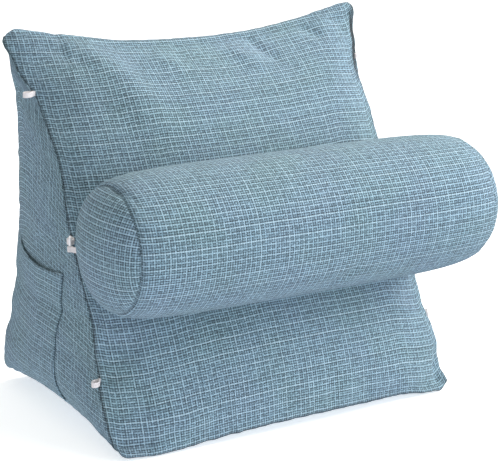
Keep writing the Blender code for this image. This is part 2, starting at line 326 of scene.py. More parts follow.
def soft_least(a, b, softness):
    """The lesser of two depths, with the corner where they cross eased."""
    blend = max(softness - abs(a - b), 0) / softness
    return min(a, b) - blend * blend * softness / 4


def roll_radius(x):
    middle = (ROLL_LEFT + ROLL_RIGHT) / 2
    along = min(1.0, abs(x - middle) / (ROLL_RIGHT - middle))
    return mix(ROLL_END_RADIUS, ROLL_RADIUS, math.sqrt(1 - along ** ROLL_SHOULDER))


def roll_axis(x):
    return Vector((x, ROLL_Y, ROLL_Z - ROLL_TILT * x))


FRONT_LOW = Vector((0, -DEPTH / 2, BACK_LIFT))
BACK_LOW = Vector((0, DEPTH / 2, BACK_LIFT))
TOP = Vector((0, DEPTH / 2 - TOP_LEAN, HEIGHT - TOP_EAR / 2))
FRONT_SLOPE = (TOP - FRONT_LOW).normalized()
FRONT_OUT = Vector((0, -FRONT_SLOPE.z, FRONT_SLOPE.y))
BACK_SLOPE = (TOP - BACK_LOW).normalized()
BACK_OUT = Vector((0, BACK_SLOPE.z, -BACK_SLOPE.y))


def room_behind_roll(point):
    """How far the front panel may swell at a point of its seam plane before it meets the bolster."""
    axis = roll_axis(point.x) - point
    reach = roll_radius(point.x) + ROLL_GAP
    aside = axis.dot(FRONT_SLOPE)
    if abs(aside) >= reach:
        return ROLL_RADIUS
    return axis.dot(FRONT_OUT) - math.sqrt(reach * reach - aside * aside)


def wedge_point(across, back, up):
    """Moves a point of the cube from -1 to 1 to its place on the stuffed wedge."""
    rise = (up + 1) / 2
    deep = (back + 1) / 2
    roll_width = mix(TOP_EAR, TOP_ROLL, swell(across, TOP_EASE))
    top_half = Vector((0, roll_width / 2, 0))
    front = FRONT_LOW.lerp(TOP - top_half, rise)
    rear = BACK_LOW.lerp(TOP + top_half, rise)
    front.y -= between(SIDE_SEAM, "front_bow", rise) * abs(across) ** BOW_FADE
    point = front.lerp(rear, deep)

    half_width = mix(WIDTH, TOP_WIDTH, rise) / 2
    draw = mix(between(SIDE_SEAM, "front_draw", rise), between(SIDE_SEAM, "back_draw", rise), deep)
    point.x = across * (half_width - draw)

    low = (1 - rise) ** FOOT_FADE
    high = rise ** TOP_FADE
    right = (across + 1) / 2
    point.z += BASE_ARCH * swell(back, 1) * abs(across) ** ARCH_FADE * low
    point.z -= TOP_DIP * swell(across, TOP_EASE) * high
    point.z += between(LEVEL_EDGES, "top_rise", across) * high
    foot = between(LEVEL_EDGES, "foot_lift", across) - BACK_LIFT
    point.z += foot * (1 - deep) ** 2 * (1 - rise) ** LIFT_FADE
    point.z += TOP_ROUND * roll_width * swell(back, 1) * rise ** ROUND_FADE
    point.y -= (FRONT_EDGE_SWELL * swell(across, FULLNESS) + FRONT_RIGHT_SPREAD * right) * (1 - deep) * low
    point.y -= BACK_EDGE_TUCK * swell(across, 1) * deep * low

    front_crown = FRONT_CROWN * swell(across, FULLNESS) * swell(up, FULLNESS)
    front_crown = soft_least(front_crown, room_behind_roll(point), TROUGH_SOFTNESS)
    back_crown = BACK_CROWN * swell(across, FULLNESS) * swell(up, FULLNESS)
    side_crown = SIDE_CROWN * swell(back, SIDE_FULLNESS) * swell(up, SIDE_FULLNESS)
    base_crown = BASE_CROWN * swell(across, BASE_FULLNESS) * swell(back, BASE_FULLNESS)
    if back == -1:
        point += FRONT_OUT * max(0.0, front_crown)
    point += BACK_OUT * back_crown * deep
    point.x += math.copysign(side_crown, across) * abs(across) ** SIDE_FADE
    point.z = max(0.0, point.z - base_crown * (1 - rise))
    return point


def crowd(place):
    """Draws cuts towards a panel's edges, where the cloth turns fastest."""
    return mix(place, math.sin(place * math.pi / 2), EDGE_CROWDING)


def cuts_across(count):
    return [crowd(2 * cut / count - 1) for cut in range(count + 1)]


def length_along(points, axis):
    """Distance along the cloth at each point of a panel, from its first row or column."""
    steps = np.linalg.norm(np.diff(points, axis=axis), axis=2)
    return np.concatenate((np.zeros_like(steps.take([0], axis)), np.cumsum(steps, axis)), axis)


def lay_flat(points):
    """How far across and along its own cloth each point of a panel lies, in metres."""
    across = length_along(points, 1)
    across -= across[:, [across.shape[1] // 2]]
    return np.stack((across, length_along(points, 0)), 2)


def sew(name, points, panels, painted_shades):
    """Joins panels into one cover. A panel is a grid of point numbers, with each one's place in the weave.
    The last argument is the shade painted at each point, from 0 on open cloth to 1 or more along a seam."""
    faces, weave = [], []
    for panel, laid in panels:
        for row in range(panel.shape[0] - 1):
            for column in range(panel.shape[1] - 1):
                square = ((row, column), (row, column + 1), (row + 1, column + 1), (row + 1, column))
                corners = {int(panel[corner]): laid[corner] for corner in square}
                faces.append(list(corners))
                weave += corners.values()
    mesh = bpy.data.meshes.new(name)
    mesh.from_pydata(points.tolist(), [], faces)
    mesh.uv_layers.new(name="weave").data.foreach_set("uv", np.array(weave).ravel())
    mesh.attributes.new("seam", "FLOAT", "POINT").data.foreach_set("value", painted_shades)
    piece = bpy.data.objects.new(name, mesh)
    bpy.context.scene.collection.objects.link(piece)
    return piece


def spots(mesh):
    return np.array([vert.co for vert in mesh.vertices])


FILL_MOMENTS = 20


def fill(piece, sewn, pressure, slack, cap):
    """Stuffs a cover: pressure swells the cloth, which is a share slack too large, between its pinned,
    sewn points. No point moves further than cap."""
    start = spots(piece.data)
    pins = piece.vertex_groups.new(name="sewn")
    for number, weight in enumerate(sewn):
        pins.add([number], weight, "REPLACE")
    cloth = piece.modifiers.new("stuffing", "CLOTH")
    cloth.settings.quality = 6
    cloth.settings.mass = 0.3
    cloth.settings.tension_stiffness = cloth.settings.compression_stiffness = 25
    cloth.settings.shear_stiffness = 12
    cloth.settings.bending_stiffness = 1.5
    cloth.settings.vertex_group_mass = "sewn"
    cloth.settings.pin_stiffness = 4
    cloth.settings.shrink_min = -slack
    cloth.settings.use_pressure = True
    cloth.settings.uniform_pressure_force = pressure
    cloth.settings.effector_weights.gravity = 0
    cloth.collision_settings.use_collision = False
    cloth.point_cache.frame_start = 1
    cloth.point_cache.frame_end = FILL_MOMENTS
    for moment in range(1, FILL_MOMENTS + 1):
        bpy.context.scene.frame_set(moment)
    swollen = piece.evaluated_get(bpy.context.evaluated_depsgraph_get())
    moved = spots(swollen.data) - start
    reach = np.linalg.norm(moved, axis=1, keepdims=True)
    moved *= np.minimum(1, cap / np.maximum(reach, 1e-9))
    bpy.context.scene.frame_set(1)
    piece.modifiers.remove(cloth)
    piece.data.vertices.foreach_set("co", (start + moved * (1 - np.array(sewn)[:, None])).ravel())
    piece.data.update()


SEAM_SINK, SEAM_RISE = 0.0010, 0.0009


def turn_out(piece, seams, strength=1.0):
    """Turned right side out, the cloth rolls over its seams: they lie in a groove between two swells.
    Then the mesh is cut finer, with the seams kept sharp."""
    mesh = piece.data
    sewn = np.array(seams, bool)
    ends = np.array([edge.vertices for edge in mesh.edges])
    touching = sewn[ends].sum(axis=1)
    beside = np.zeros(len(sewn), bool)
    beside[ends[touching == 1].ravel()] = True
    beside &= ~sewn
    outward = np.array([vert.normal for vert in mesh.vertices])
    places = spots(mesh)
    places[sewn] -= SEAM_SINK * strength * outward[sewn]
    places[beside] += SEAM_RISE * strength * outward[beside]
    mesh.vertices.foreach_set("co", places.ravel())
    mesh.attributes.new("crease_edge", "FLOAT", "EDGE").data.foreach_set("value", (touching == 2) * 0.9)
    smooth = piece.modifiers.new("smooth", "SUBSURF")
    smooth.levels = smooth.render_levels = 1
    finer = bpy.data.meshes.new_from_object(piece.evaluated_get(bpy.context.evaluated_depsgraph_get()))
    piece.modifiers.remove(smooth)
    finer.name = piece.name
    piece.data = finer
    finer.shade_smooth()


# A fold runs through three places of a panel. It is pressed in or, with a positive rise, swells out.
Fold = namedtuple("Fold", "start middle end rise width")
FRONT_FOLDS = (
    Fold((-0.74, 0.94), (-0.58, 0.84), (-0.40, 0.42), 0.0085, 0.026),
    Fold((-0.84, 0.93), (-0.71, 0.87), (-0.58, 0.72), -0.0032, 0.009),
    Fold((0.33, 1.00), (0.36, 0.92), (0.46, 0.78), -0.0036, 0.007),
    Fold((-0.26, 0.94), (-0.18, 0.86), (-0.04, 0.74), 0.0032, 0.014),
    Fold((0.18, 0.95), (0.24, 0.88), (0.34, 0.76), 0.0030, 0.012),
    Fold((0.63, 0.98), (0.69, 0.93), (0.76, 0.85), -0.0034, 0.007),
    Fold((-1.00, -0.38), (-0.82, -0.42), (-0.60, -0.44), -0.0026, 0.006),
    Fold((-0.80, -0.49), (-0.66, -0.50), (-0.52, -0.51), -0.0020, 0.006),
    Fold((-1.00, -0.50), (-0.90, -0.50), (-0.80, -0.49), -0.0020, 0.0045),
    Fold((-1.00, -0.58), (-0.90, -0.57), (-0.81, -0.57), -0.0020, 0.0045),
    Fold((-1.00, -0.65), (-0.92, -0.65), (-0.86, -0.64), -0.0018, 0.0045),
    Fold((-1.00, -0.92), (-0.88, -0.95), (-0.66, -0.92), -0.0040, 0.007),
    Fold((-0.80, -0.78), (-0.66, -0.86), (-0.50, -0.93), 0.0038, 0.011),
    Fold((0.34, -0.96), (0.62, -0.985), (0.92, -0.95), -0.0032, 0.008),
    Fold((0.98, -0.80), (0.95, -0.90), (0.92, -0.97), -0.0030, 0.006),
)
FOLD_STEPS = 12


def fold_cloth(piece, folds, place):
    """Presses folds into a stuffed cover. place turns a fold's two shares into a point of its panel."""
    points = spots(piece.data)
    outward = np.array([vert.normal for vert in piece.data.vertices])
    for fold in folds:
        start, middle, end = (np.array(share) for share in fold[:3])
        run = np.linspace(0, 1, FOLD_STEPS + 1)[:, None]
        bend = 2 * middle - (start + end) / 2
        shares = start * (1 - run) ** 2 + bend * 2 * run * (1 - run) + end * run ** 2
        line = np.array([place(*share) for share in shares])
        nearest = np.full(len(points), np.inf)
        run = np.zeros(len(points))
        for step in range(FOLD_STEPS):
            way = line[step + 1] - line[step]
            share = np.clip((points - line[step]) @ way / (way @ way), 0, 1)
            off = np.linalg.norm(points - line[step] - share[:, None] * way, axis=1)
            closer = off < nearest
            nearest[closer] = off[closer]
            run[closer] = (step + share[closer]) / FOLD_STEPS
        fading = np.sqrt(np.sin(math.pi * run))
        depth = fold.rise * fading * np.exp(-(nearest / fold.width) ** 2)
        points += outward * depth[:, None]
    piece.data.vertices.foreach_set("co", points.ravel())
    piece.data.update()


PUCKER_DEPTH, PUCKER_REACH, PUCKER_SIZE = 0.0013, 0.012, 0.010
# Puckers start from points whose painted shade is above this, at a seam or in the painted shadow along the
# right ear's seam, and end at so many times their reach
SEWN_PAINTED_SHADE, PUCKER_END = 0.6, 3


def pucker(piece, strength=1.0):
    """Gathers the cloth beside its seams, in small swells and hollows that run square to them."""
    mesh = piece.data
    seam = mesh.attributes["seam"].data
    sewn = [vert.co.copy() for vert in mesh.vertices if seam[vert.index].value > SEWN_PAINTED_SHADE]
    tree = KDTree(len(sewn))
    for number, place in enumerate(sewn):
        tree.insert(place, number)
    tree.balance()
    points = spots(mesh)
    for vert in mesh.vertices:
        near, _, off = tree.find(vert.co)
        if off < PUCKER_REACH * PUCKER_END:
            gather = noise.noise(near / PUCKER_SIZE) * math.exp(-off / PUCKER_REACH)
            points[vert.index] += vert.normal * PUCKER_DEPTH * strength * gather
    mesh.vertices.foreach_set("co", points.ravel())
    mesh.update()


# Turned corners come out blunt: how far in they stop, and how far from the tip that begins. The right
# ear comes to more of a point. The left ear's front is drawn out, its back tucked in, and it curls back.
CORNER_IN, RIGHT_EAR_IN, CORNER_ACROSS, CORNER_UP = 0.005, 0.0015, 0.09, 0.06
EAR_OUT, EAR_TUCK, EAR_BACK, EAR_ACROSS, EAR_UP = 0.006, 0.004, 0.009, 0.28, 0.27


def blunt(place, across, back, up):
    near_side = max(0.0, 1 - (1 - abs(across)) / CORNER_ACROSS)
    near_end = max(0.0, 1 - (1 - abs(up)) / CORNER_UP)
    short = (RIGHT_EAR_IN if across > 0 and up > 0 else CORNER_IN) * near_side ** 2 * near_end ** 2
    drawn = max(0.0, 1 - (1 + across) / EAR_ACROSS) ** 2 * max(0.0, 1 - (1 - up) / EAR_UP)
    out = drawn * mix(EAR_OUT, -EAR_TUCK, (1 + back) / 2)
    return place - Vector((math.copysign(short, across) + out, -drawn * EAR_BACK, math.copysign(short, up)))


# The right ear's seam turns under, and a painted shadow darkens a line along it, around this share of its
# height
PAINTED_SEAM_SHADOW, PAINTED_SEAM_SHADOW_WIDTH, PAINTED_SEAM_SHADOW_UP, PAINTED_SEAM_SHADOW_REACH = 1.20, 0.026, 0.80, 0.22
# The left ear's cloth is creased, and painted shade makes it a little darker. The painted shade sets in
# between these shares of the front, out to the side and up to the top.
EAR_PAINTED_SHADE, EAR_PAINTED_SHADE_OUT, EAR_PAINTED_SHADE_UP = 0.42, (-0.36, -0.72), (0.10, 0.62)


def front_painted_shade(across, up):
    """How much shade is painted on the front panel at its ears."""
    if 1 - across < PAINTED_SEAM_SHADOW_WIDTH:
        return PAINTED_SEAM_SHADOW * swell((up - PAINTED_SEAM_SHADOW_UP) / PAINTED_SEAM_SHADOW_REACH, 0.5)
    (side_start, side_full), (top_start, top_full) = EAR_PAINTED_SHADE_OUT, EAR_PAINTED_SHADE_UP
    near_side = (across - side_start) / (side_full - side_start)
    near_top = (up - top_start) / (top_full - top_start)
    return EAR_PAINTED_SHADE * math.sqrt(min(1, max(0, near_side)) * min(1, max(0, near_top)))


# Cloth this close to the bolster is pressed by it, so the filling doesn't move it
PRESSED_WITHIN = 0.012


def make_wedge():
    across, back, up = (cuts_across(count) for count in WEDGE_CUTS)
    wide, deep, tall = WEDGE_CUTS
    numbers, points, pinned, seams, painted_shades = {}, [], [], [], []

    def number(i, j, k):
        if (i, j, k) not in numbers:
            numbers[i, j, k] = len(points)
            place = blunt(wedge_point(across[i], back[j], up[k]), across[i], back[j], up[k])
            points.append(place)
            side = i in (0, wide)
            sewn = side and (j in (0, deep) or k in (0, tall))
            sewn = sewn or j in (0, deep) and k == 0 or (j, k) == (deep, tall)
            behind_roll = j == 0 and room_behind_roll(place) < PRESSED_WITHIN
            seams.append(float(sewn))
            painted_shades.append(front_painted_shade(across[i], up[k]) if j == 0 else 0.0)
            pinned.append(float(sewn or k in (0, tall) or behind_roll))
        return numbers[i, j, k]

    def panel(rows, columns, at):
        return np.array([[number(*at(row, column)) for column in columns] for row in rows])

    from_left, from_right = range(wide + 1), range(wide, -1, -1)
    from_front, from_back = range(deep + 1), range(deep, -1, -1)
    front = panel(range(tall + 1), from_left, lambda row, column: (column, 0, row))
    over_top = panel(from_front[1:], from_left, lambda row, column: (column, row, tall))
    panels = (
        np.concatenate((front, over_top)),
        panel(range(tall + 1), from_right, lambda row, column: (column, deep, row)),
        panel(from_back, from_left, lambda row, column: (column, row, 0)),
        panel(range(tall + 1), from_back, lambda row, column: (0, column, row)),
        panel(range(tall + 1), from_front, lambda row, column: (wide, column, row)),
    )
    points = np.array(points)
    # Each point's painted shade: 1 along every seam, where the groove lies in shade, and more at the ears
    painted_shades = np.maximum(seams, painted_shades)
    piece = sew("wedge_cover", points, [(panel, lay_flat(points[panel])) for panel in panels], painted_shades)
    fill(piece, pinned, pressure=4.0, slack=0.006, cap=0.006)
    turn_out(piece, seams)
    fold_cloth(piece, FRONT_FOLDS, lambda across, up: wedge_point(across, -1, up))
    pucker(piece)
    return piece


wedge = make_wedge()
wedge.data.materials.append(cover_cloth)
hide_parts("wedge_cushion")
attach(wedge, "root")


# Bolster: a barrel panel closed by two round discs, stuffed hard. It rests in the trough that it
# presses in the front panel.
ROLL_DOME = 0.028
ROLL_AROUND, ROLL_RINGS, DISC_RINGS = 96, 72, 16


def roll_ring(x, radius):
    """The points of one ring of the bolster, from its back and over the top to the front."""
    turns = [math.tau * step / ROLL_AROUND for step in range(ROLL_AROUND)]
    tilt = Matrix.Rotation(math.atan(ROLL_TILT), 3, "Y")
    centre = Vector((0, ROLL_Y, ROLL_Z))
    return [centre + tilt @ Vector((x, radius * math.cos(turn), radius * math.sin(turn))) for turn in turns]


# Folds of the bolster, by place along it and degrees round it from its back over the top
ROLL_FOLDS = (
    Fold((0.004, 230), (0.034, 222), (0.054, 202), -0.0026, 0.006),
    Fold((-0.218, 90), (-0.214, 110), (-0.204, 128), -0.0018, 0.004),
    Fold((-0.214, 158), (-0.203, 158), (-0.186, 157), -0.0011, 0.003),
    Fold((-0.212, 137), (-0.203, 137), (-0.192, 138), -0.0011, 0.003),
    Fold((-0.214, 190), (-0.204, 191), (-0.190, 193), -0.0011, 0.003),
)
# The discs' seams are pressed flat, so their painted shade, groove and puckers are weaker than the wedge's
ROLL_PAINTED_SEAM_SHADE, ROLL_GROOVE, ROLL_PUCKER = 0.55, 0.5, 0.8


def roll_skin(x, degrees):
    turn = math.radians(degrees)
    return roll_axis(x) + roll_radius(x) * Vector((0, math.cos(turn), math.sin(turn)))


def make_bolster():
    points = []

    def ring(x, radius):
        start = len(points)
        points.extend(roll_ring(x, radius))
        return [start + step % ROLL_AROUND for step in range(ROLL_AROUND + 1)]

    ends = cuts_across(ROLL_RINGS)
    barrel = [ring(x, roll_radius(x)) for x in (mix(ROLL_LEFT, ROLL_RIGHT, (end + 1) / 2) for end in ends)]
    discs = []
    # The left disc's rows are turned round, so that both discs face outwards
    for seam, x, way in ((barrel[0], ROLL_LEFT, -1), (barrel[-1], ROLL_RIGHT, 1)):
        turns = [math.pi / 2 * step / DISC_RINGS for step in range(1, DISC_RINGS)]
        disc = [seam]
        for turn in turns:
            disc.append(ring(x + way * ROLL_DOME * math.sin(turn), ROLL_END_RADIUS * math.cos(turn)))
        disc.append([len(points)] * (ROLL_AROUND + 1))
        points.append(roll_ring(x + way * ROLL_DOME, 0.0)[0])
        discs.append(np.array(disc)[::way])

    points = np.array(points)
    barrel = np.array(barrel)
    # The weave is counted from the right end
    panels = [(barrel, lay_flat(points[barrel[::-1]])[::-1, :, ::-1])]
    around = np.linspace(0, math.tau, ROLL_AROUND + 1)
    for disc in discs:
        reach = length_along(points[disc], 0)
        reach = np.abs(reach - reach[np.ptp(disc, axis=1) == 0])
        panels.append((disc, np.stack((reach * np.cos(around), reach * np.sin(around)), 2)))
    seams = np.zeros(len(points))
    seams[barrel[[0, -1]]] = 1
    piece = sew("bolster_cover", points, panels, seams)
    fill(piece, seams, pressure=4.0, slack=0.006, cap=0.004)
    turn_out(piece, seams, ROLL_GROOVE)
    fold_cloth(piece, ROLL_FOLDS, roll_skin)
    pucker(piece, ROLL_PUCKER)
    # The shade painted along the discs' seams is weakened
    for shade in piece.data.attributes["seam"].data:
        shade.value *= ROLL_PAINTED_SEAM_SHADE
    return piece


bolster = make_bolster()
bolster.data.materials.append(cover_cloth)
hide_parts("bolster")
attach(bolster, "root")


# Pocket: a patch of the same cloth on the left gusset. It is sewn into the back and base seams and
# down its front edge, and hangs a little open at its curved, hemmed mouth.
POCKET_REAR, POCKET_FOOT = 0.93, -0.94
POCKET_FRONT_LOW, POCKET_FRONT_HIGH, POCKET_FRONT_BEND = -0.23, -0.68, 2.0
POCKET_MOUTH_REAR, POCKET_MOUTH_FRONT, POCKET_MOUTH_SAG = -0.09, -0.17, 0.045
POCKET_GAPE, GAPE_FULLNESS, GAPE_FADE = 0.0027, 1.5, 4
# The mouth's rear end is held flat down to a bar tack, this share of the way from the back seam
MOUTH_HELD, HELD_SINK, HELD_FADE = 0.22, 0.0026, 12
POCKET_CUTS = (56, 60)
POCKET_CLOTH, POCKET_CLEAR = 0.0012, 0.0006
# The weave rises into the back seam: how far, and how far from the seam it levels out
WEAVE_PULL, WEAVE_LEVELS = 0.023, 0.035
# The gusset is felt for from this far outside it
FEEL_FROM = 0.05


def pocket_place(along, up):
    """A place on the gusset behind the pocket, and how far the pocket gapes from it there."""
    mouth = mix(POCKET_MOUTH_REAR, POCKET_MOUTH_FRONT, along) - POCKET_MOUTH_SAG * swell(2 * along - 1, 1)
    front = mix(POCKET_FRONT_LOW, POCKET_FRONT_HIGH, up ** POCKET_FRONT_BEND)
    open_share = (along - MOUTH_HELD) / (1 - MOUTH_HELD)
    gape = POCKET_GAPE * swell(2 * open_share - 1, GAPE_FULLNESS) * up ** GAPE_FADE
    gape -= HELD_SINK * max(0, 1 - along / MOUTH_HELD) ** 0.5 * up ** HELD_FADE
    return wedge_point(-1, mix(POCKET_REAR, front, along), mix(POCKET_FOOT, mouth, up)), gape


def make_pocket():
    skin = BVHTree.FromPolygons([vert.co for vert in wedge.data.vertices],
                                [face.vertices for face in wedge.data.polygons])
    along_cuts, up_cuts = POCKET_CUTS
    points = []
    for row in range(up_cuts + 1):
        for column in range(along_cuts + 1):
            place, gape = pocket_place(1 - column / along_cuts, row / up_cuts)
            hit, outward = skin.ray_cast(place - Vector((FEEL_FROM, 0, 0)), Vector((1, 0, 0)))[:2]
            points.append(hit + outward * POCKET_CLEAR + Vector((-gape, 0, 0)))
    points = np.array(points)
    grid = np.arange(len(points)).reshape(up_cuts + 1, along_cuts + 1)
    laid = lay_flat(points[grid])
    from_back = laid[:, -1:, 0] - laid[:, :, 0]
    laid[:, :, 1] += WEAVE_PULL * (1 - np.exp(-from_back / WEAVE_LEVELS))
    laid[:, :, 0] *= -1
    piece = sew("pocket_patch", points, [(grid[:, ::-1], laid[:, ::-1])], np.zeros(len(points)))
    piece.data.shade_smooth()
    wall = piece.modifiers.new("thickness", "SOLIDIFY")
    wall.thickness = POCKET_CLOTH
    wall.offset = 1
    return piece


pocket = make_pocket()
pocket.data.materials.append(cover_cloth)
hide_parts("side_pocket")
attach(pocket, "root")


# Stitching of the pocket, in blue thread: a hem line below its mouth, a topstitch down its front edge,
# and a bar tack at each end of the mouth.
STITCH, STITCH_PITCH, THREAD = 0.0026, 0.0034, 0.00045
TACK, TACK_PITCH = 0.0030, 0.0006
# Rows of the patch from its mouth down to the hem line, and its columns from the front edge to each tack
HEM_ROWS, FRONT_COLUMN, REAR_COLUMN = 3, 1, 44


def stitch_tree():
    """Lays a thread at each place along a row, the way that the row's "lie" attribute points."""
    tree = bpy.data.node_groups.new("stitches", "GeometryNodeTree")
    sockets = {}
    kinds = (("Row", "Geometry"), ("Pitch", "Float"), ("Length", "Float"), ("Thickness", "Float"),
             ("Thread", "Material"))
    for name, kind in kinds:
        socket = tree.interface.new_socket(name, in_out="INPUT", socket_type=f"NodeSocket{kind}")
        sockets[name] = socket.identifier
    tree.interface.new_socket("Stitches", in_out="OUTPUT", socket_type="NodeSocketGeometry")
    rows = Nodes(tree)
    given = tree.nodes.new("NodeGroupInput")
    row, pitch, length, thickness, thread = (Field(rows, given.outputs[place]) for place in range(5))
    curve = rows.node("GeometryNodeMeshToCurve", {}, {"Mesh": row})
    places = rows.node("GeometryNodeResampleCurve", {"mode": "LENGTH"}, {"Curve": curve, "Length": pitch})
    lie = rows.node("GeometryNodeInputNamedAttribute", {"data_type": "FLOAT_VECTOR"}, {"Name": "lie"})
    turn = rows.node("FunctionNodeAlignRotationToVector", {"axis": "Z"}, {"Vector": lie})
    size = rows.node("ShaderNodeCombineXYZ", {}, {0: thickness, 1: thickness, 2: length})
    bead = rows.node("GeometryNodeMeshUVSphere", {}, {"Segments": 8, "Rings": 6, "Radius": 0.5})
    laid = rows.node("GeometryNodeInstanceOnPoints", {},
                     {"Points": places, "Instance": bead, "Rotation": turn, "Scale": size})
    real = rows.node("GeometryNodeRealizeInstances", {}, {"Geometry": laid})
    made = rows.node("GeometryNodeSetMaterial", {}, {"Geometry": real, "Material": thread})
    out = tree.nodes.new("NodeGroupOutput")
    tree.links.new(made.socket, out.inputs["Stitches"])
    return tree, sockets


def sew_row(name, path, lie, pitch, length, thread):
    """One row of stitches along a path, each thread lying the given way."""
    mesh = bpy.data.meshes.new(name)
    mesh.from_pydata([tuple(place) for place in path], [(at, at + 1) for at in range(len(path) - 1)], [])
    mesh.attributes.new("lie", "FLOAT_VECTOR", "POINT").data.foreach_set("vector", np.ravel(lie))
    row = bpy.data.objects.new(name, mesh)
    bpy.context.scene.collection.objects.link(row)
    tree, sockets = stitching
    maker = row.modifiers.new("stitches", "NODES")
    maker.node_group = tree
    for socket, value in (("Pitch", pitch), ("Length", length), ("Thickness", THREAD), ("Thread", thread)):
        maker[sockets[socket]] = value
    made = bpy.data.meshes.new_from_object(row.evaluated_get(bpy.context.evaluated_depsgraph_get()))
    row.modifiers.remove(maker)
    made.name = name
    row.data = made
    made.shade_smooth()
    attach(row, "root")


def thread_finish():
    """Twisted thread, a little darker than the cloth, with a faint sheen."""
    thread = Finish("blue_thread", Roughness=0.6, Sheen_Weight=0.3)
    place = thread.node("ShaderNodeTexCoord", {}, {}, out=3)
    twist = thread.noise(place, 2500.0, 1.0)
    thread.surface(thread.tint((0.15, 0.25, 0.31, 1), 0.75 + 0.5 * twist), twist, 0.0001)
    return thread.material


def pocket_skin():
    """The points of the pocket's outer face, by row up from its foot and column back from its front."""
    along_cuts, up_cuts = POCKET_CUTS
    outward = np.array([vert.normal for vert in pocket.data.vertices])
    outer = spots(pocket.data) + outward * (POCKET_CLOTH + THREAD / 4)
    return outer.reshape(up_cuts + 1, along_cuts + 1, 3)


def ways_along(path):
    ways = np.gradient(path, axis=0)
    return ways / np.linalg.norm(ways, axis=1, keepdims=True)


stitching = stitch_tree()
blue_thread = thread_finish()
outer = pocket_skin()
hem_row, front_column = outer[-1 - HEM_ROWS, FRONT_COLUMN:REAR_COLUMN], outer[:, FRONT_COLUMN]
for name, path in (("pocket_hem_stitches", hem_row), ("pocket_edge_stitches", front_column)):
    sew_row(name, path, ways_along(path), STITCH_PITCH, STITCH, blue_thread)
for name, column in (("pocket_tack_front", FRONT_COLUMN), ("pocket_tack_rear", REAR_COLUMN)):
    path = outer[-1 - HEM_ROWS:, column]
    across = ways_along(outer[-1 - HEM_ROWS // 2])[column]
    sew_row(name, path, [across] * len(path), TACK_PITCH, TACK, blue_thread)


# Seam loops: short lengths of white woven tape, folded double and caught in the front side seams.
# The bolster's hooks pull the middle pair forward. The right upper and lower ones lie folded flat behind
# their seam, which hides all but a speck of each from the camera.
LoopStation = namedtuple("LoopStation", "height outward back half_gap")
SEAM_LOOPS = {
    "left_upper": LoopStation(0.376, 0.98, -0.20, 0.0037),
    "left_middle": LoopStation(0.227, 0.50, -0.87, 0.0037),
    "left_lower": LoopStation(0.082, 0.80, -0.60, 0.0037),
    "right_upper": LoopStation(0.376, 0.46, 0.88, 0.0012),
    "right_middle": LoopStation(0.227, 0.50, -0.87, 0.0037),
    "right_lower": LoopStation(0.082, 0.46, 0.88, 0.0012),
}
SIDES = {"left": -1, "right": 1}
TAPE, LOOP_WIDTH, LOOP_REACH, LOOP_SEAM_GAP = 0.0012, 0.006, 0.011, 0.0020
# A loop's share of a full turn, how deep its ends are buried, and half the gap between them there
LOOP_TURN, LOOP_BURIED, LOOP_LAYERS = 0.92, 0.002, 0.0007
LOOP_STEPS, TAPE_ROWS, TAPE_EDGE, SEAM_HALVINGS = 32, 6, 0.0003, 30
TAPE_WARP, TAPE_WEFT = 0.0007, 0.0006


def seam_point(side, height):
    """A point of a front side seam at a height above the floor; side is -1 left, 1 right."""
    low, high = -1.0, 1.0
    for _ in range(SEAM_HALVINGS):
        middle = (low + high) / 2
        if wedge_point(side, -1, middle).z < height:
            low = middle
        else:
            high = middle
    return wedge_point(side, -1, low)


def loop_root(loop_name):
    """Where a loop meets its seam, the way it points from there, and the way across it."""
    loop = SEAM_LOOPS[loop_name]
    side = SIDES[loop_name.split("_")[0]]
    out = Vector((side * loop.outward, loop.back, 0)).normalized()
    return seam_point(side, loop.height), out, Vector((-out.y, out.x, 0))


def loop_path(loop_name):
    """A folded tape, seen from above: out of the seam, round its end and back."""
    seam, out, aside = loop_root(loop_name)
    root = seam + out * (LOOP_SEAM_GAP + TAPE / 2)
    half_gap = SEAM_LOOPS[loop_name].half_gap
    path = []
    for step in range(LOOP_STEPS + 1):
        turn = math.tau * (step / LOOP_STEPS - 0.5) * LOOP_TURN
        reach = LOOP_REACH / 2 * (1 + math.cos(turn))
        path.append(root + out * reach + aside * half_gap * math.sin(turn))
    hidden = seam - out * LOOP_BURIED
    return [hidden - aside * LOOP_LAYERS] + path + [hidden + aside * LOOP_LAYERS]


def woven_tape(name, path, width):
    """A tape on edge: rows of points along its path, given its thickness and soft edges."""
    run = np.concatenate(([0], np.cumsum([(b - a).length for a, b in zip(path, path[1:])])))
    rises = [width * (row / TAPE_ROWS - 0.5) for row in range(TAPE_ROWS + 1)]
    points = np.array([place + Vector((0, 0, rise)) for rise in rises for place in path])
    grid = np.arange(len(points)).reshape(len(rises), len(path))
    laid = np.stack(np.meshgrid(run, rises), 2)
    piece = sew(name, points, [(grid, laid)], np.zeros(len(points)))
    piece.data.shade_smooth()
    wall = piece.modifiers.new("thickness", "SOLIDIFY")
    wall.thickness = TAPE
    wall.offset = 0
    edge = piece.modifiers.new("soft_edge", "BEVEL")
    edge.width = TAPE_EDGE
    edge.segments = 2
    return piece


def tape_weave():
    tape = Finish("white_tape_weave", Roughness=0.85, Sheen_Weight=0.2, Specular_IOR_Level=0.2)
    weave = tape.node("ShaderNodeUVMap", {"uv_map": "weave"}, {})
    run = tape.node("ShaderNodeSeparateXYZ", {}, {0: weave}) / TAPE_WARP
    rise = tape.node("ShaderNodeSeparateXYZ", {}, {0: weave}, out=1) / TAPE_WEFT
    twill = hump((run + rise * 0.5).part()) * hump(rise.part())
    fuzz = tape.noise(weave, 900.0, 2.0)
    colour = tape.tint((0.88, 0.83, 0.82, 1), 0.82 + 0.22 * twill + 0.10 * (fuzz - 0.5))
    tape.surface(colour, twill + 0.3 * fuzz, 0.00025)
    return tape.material


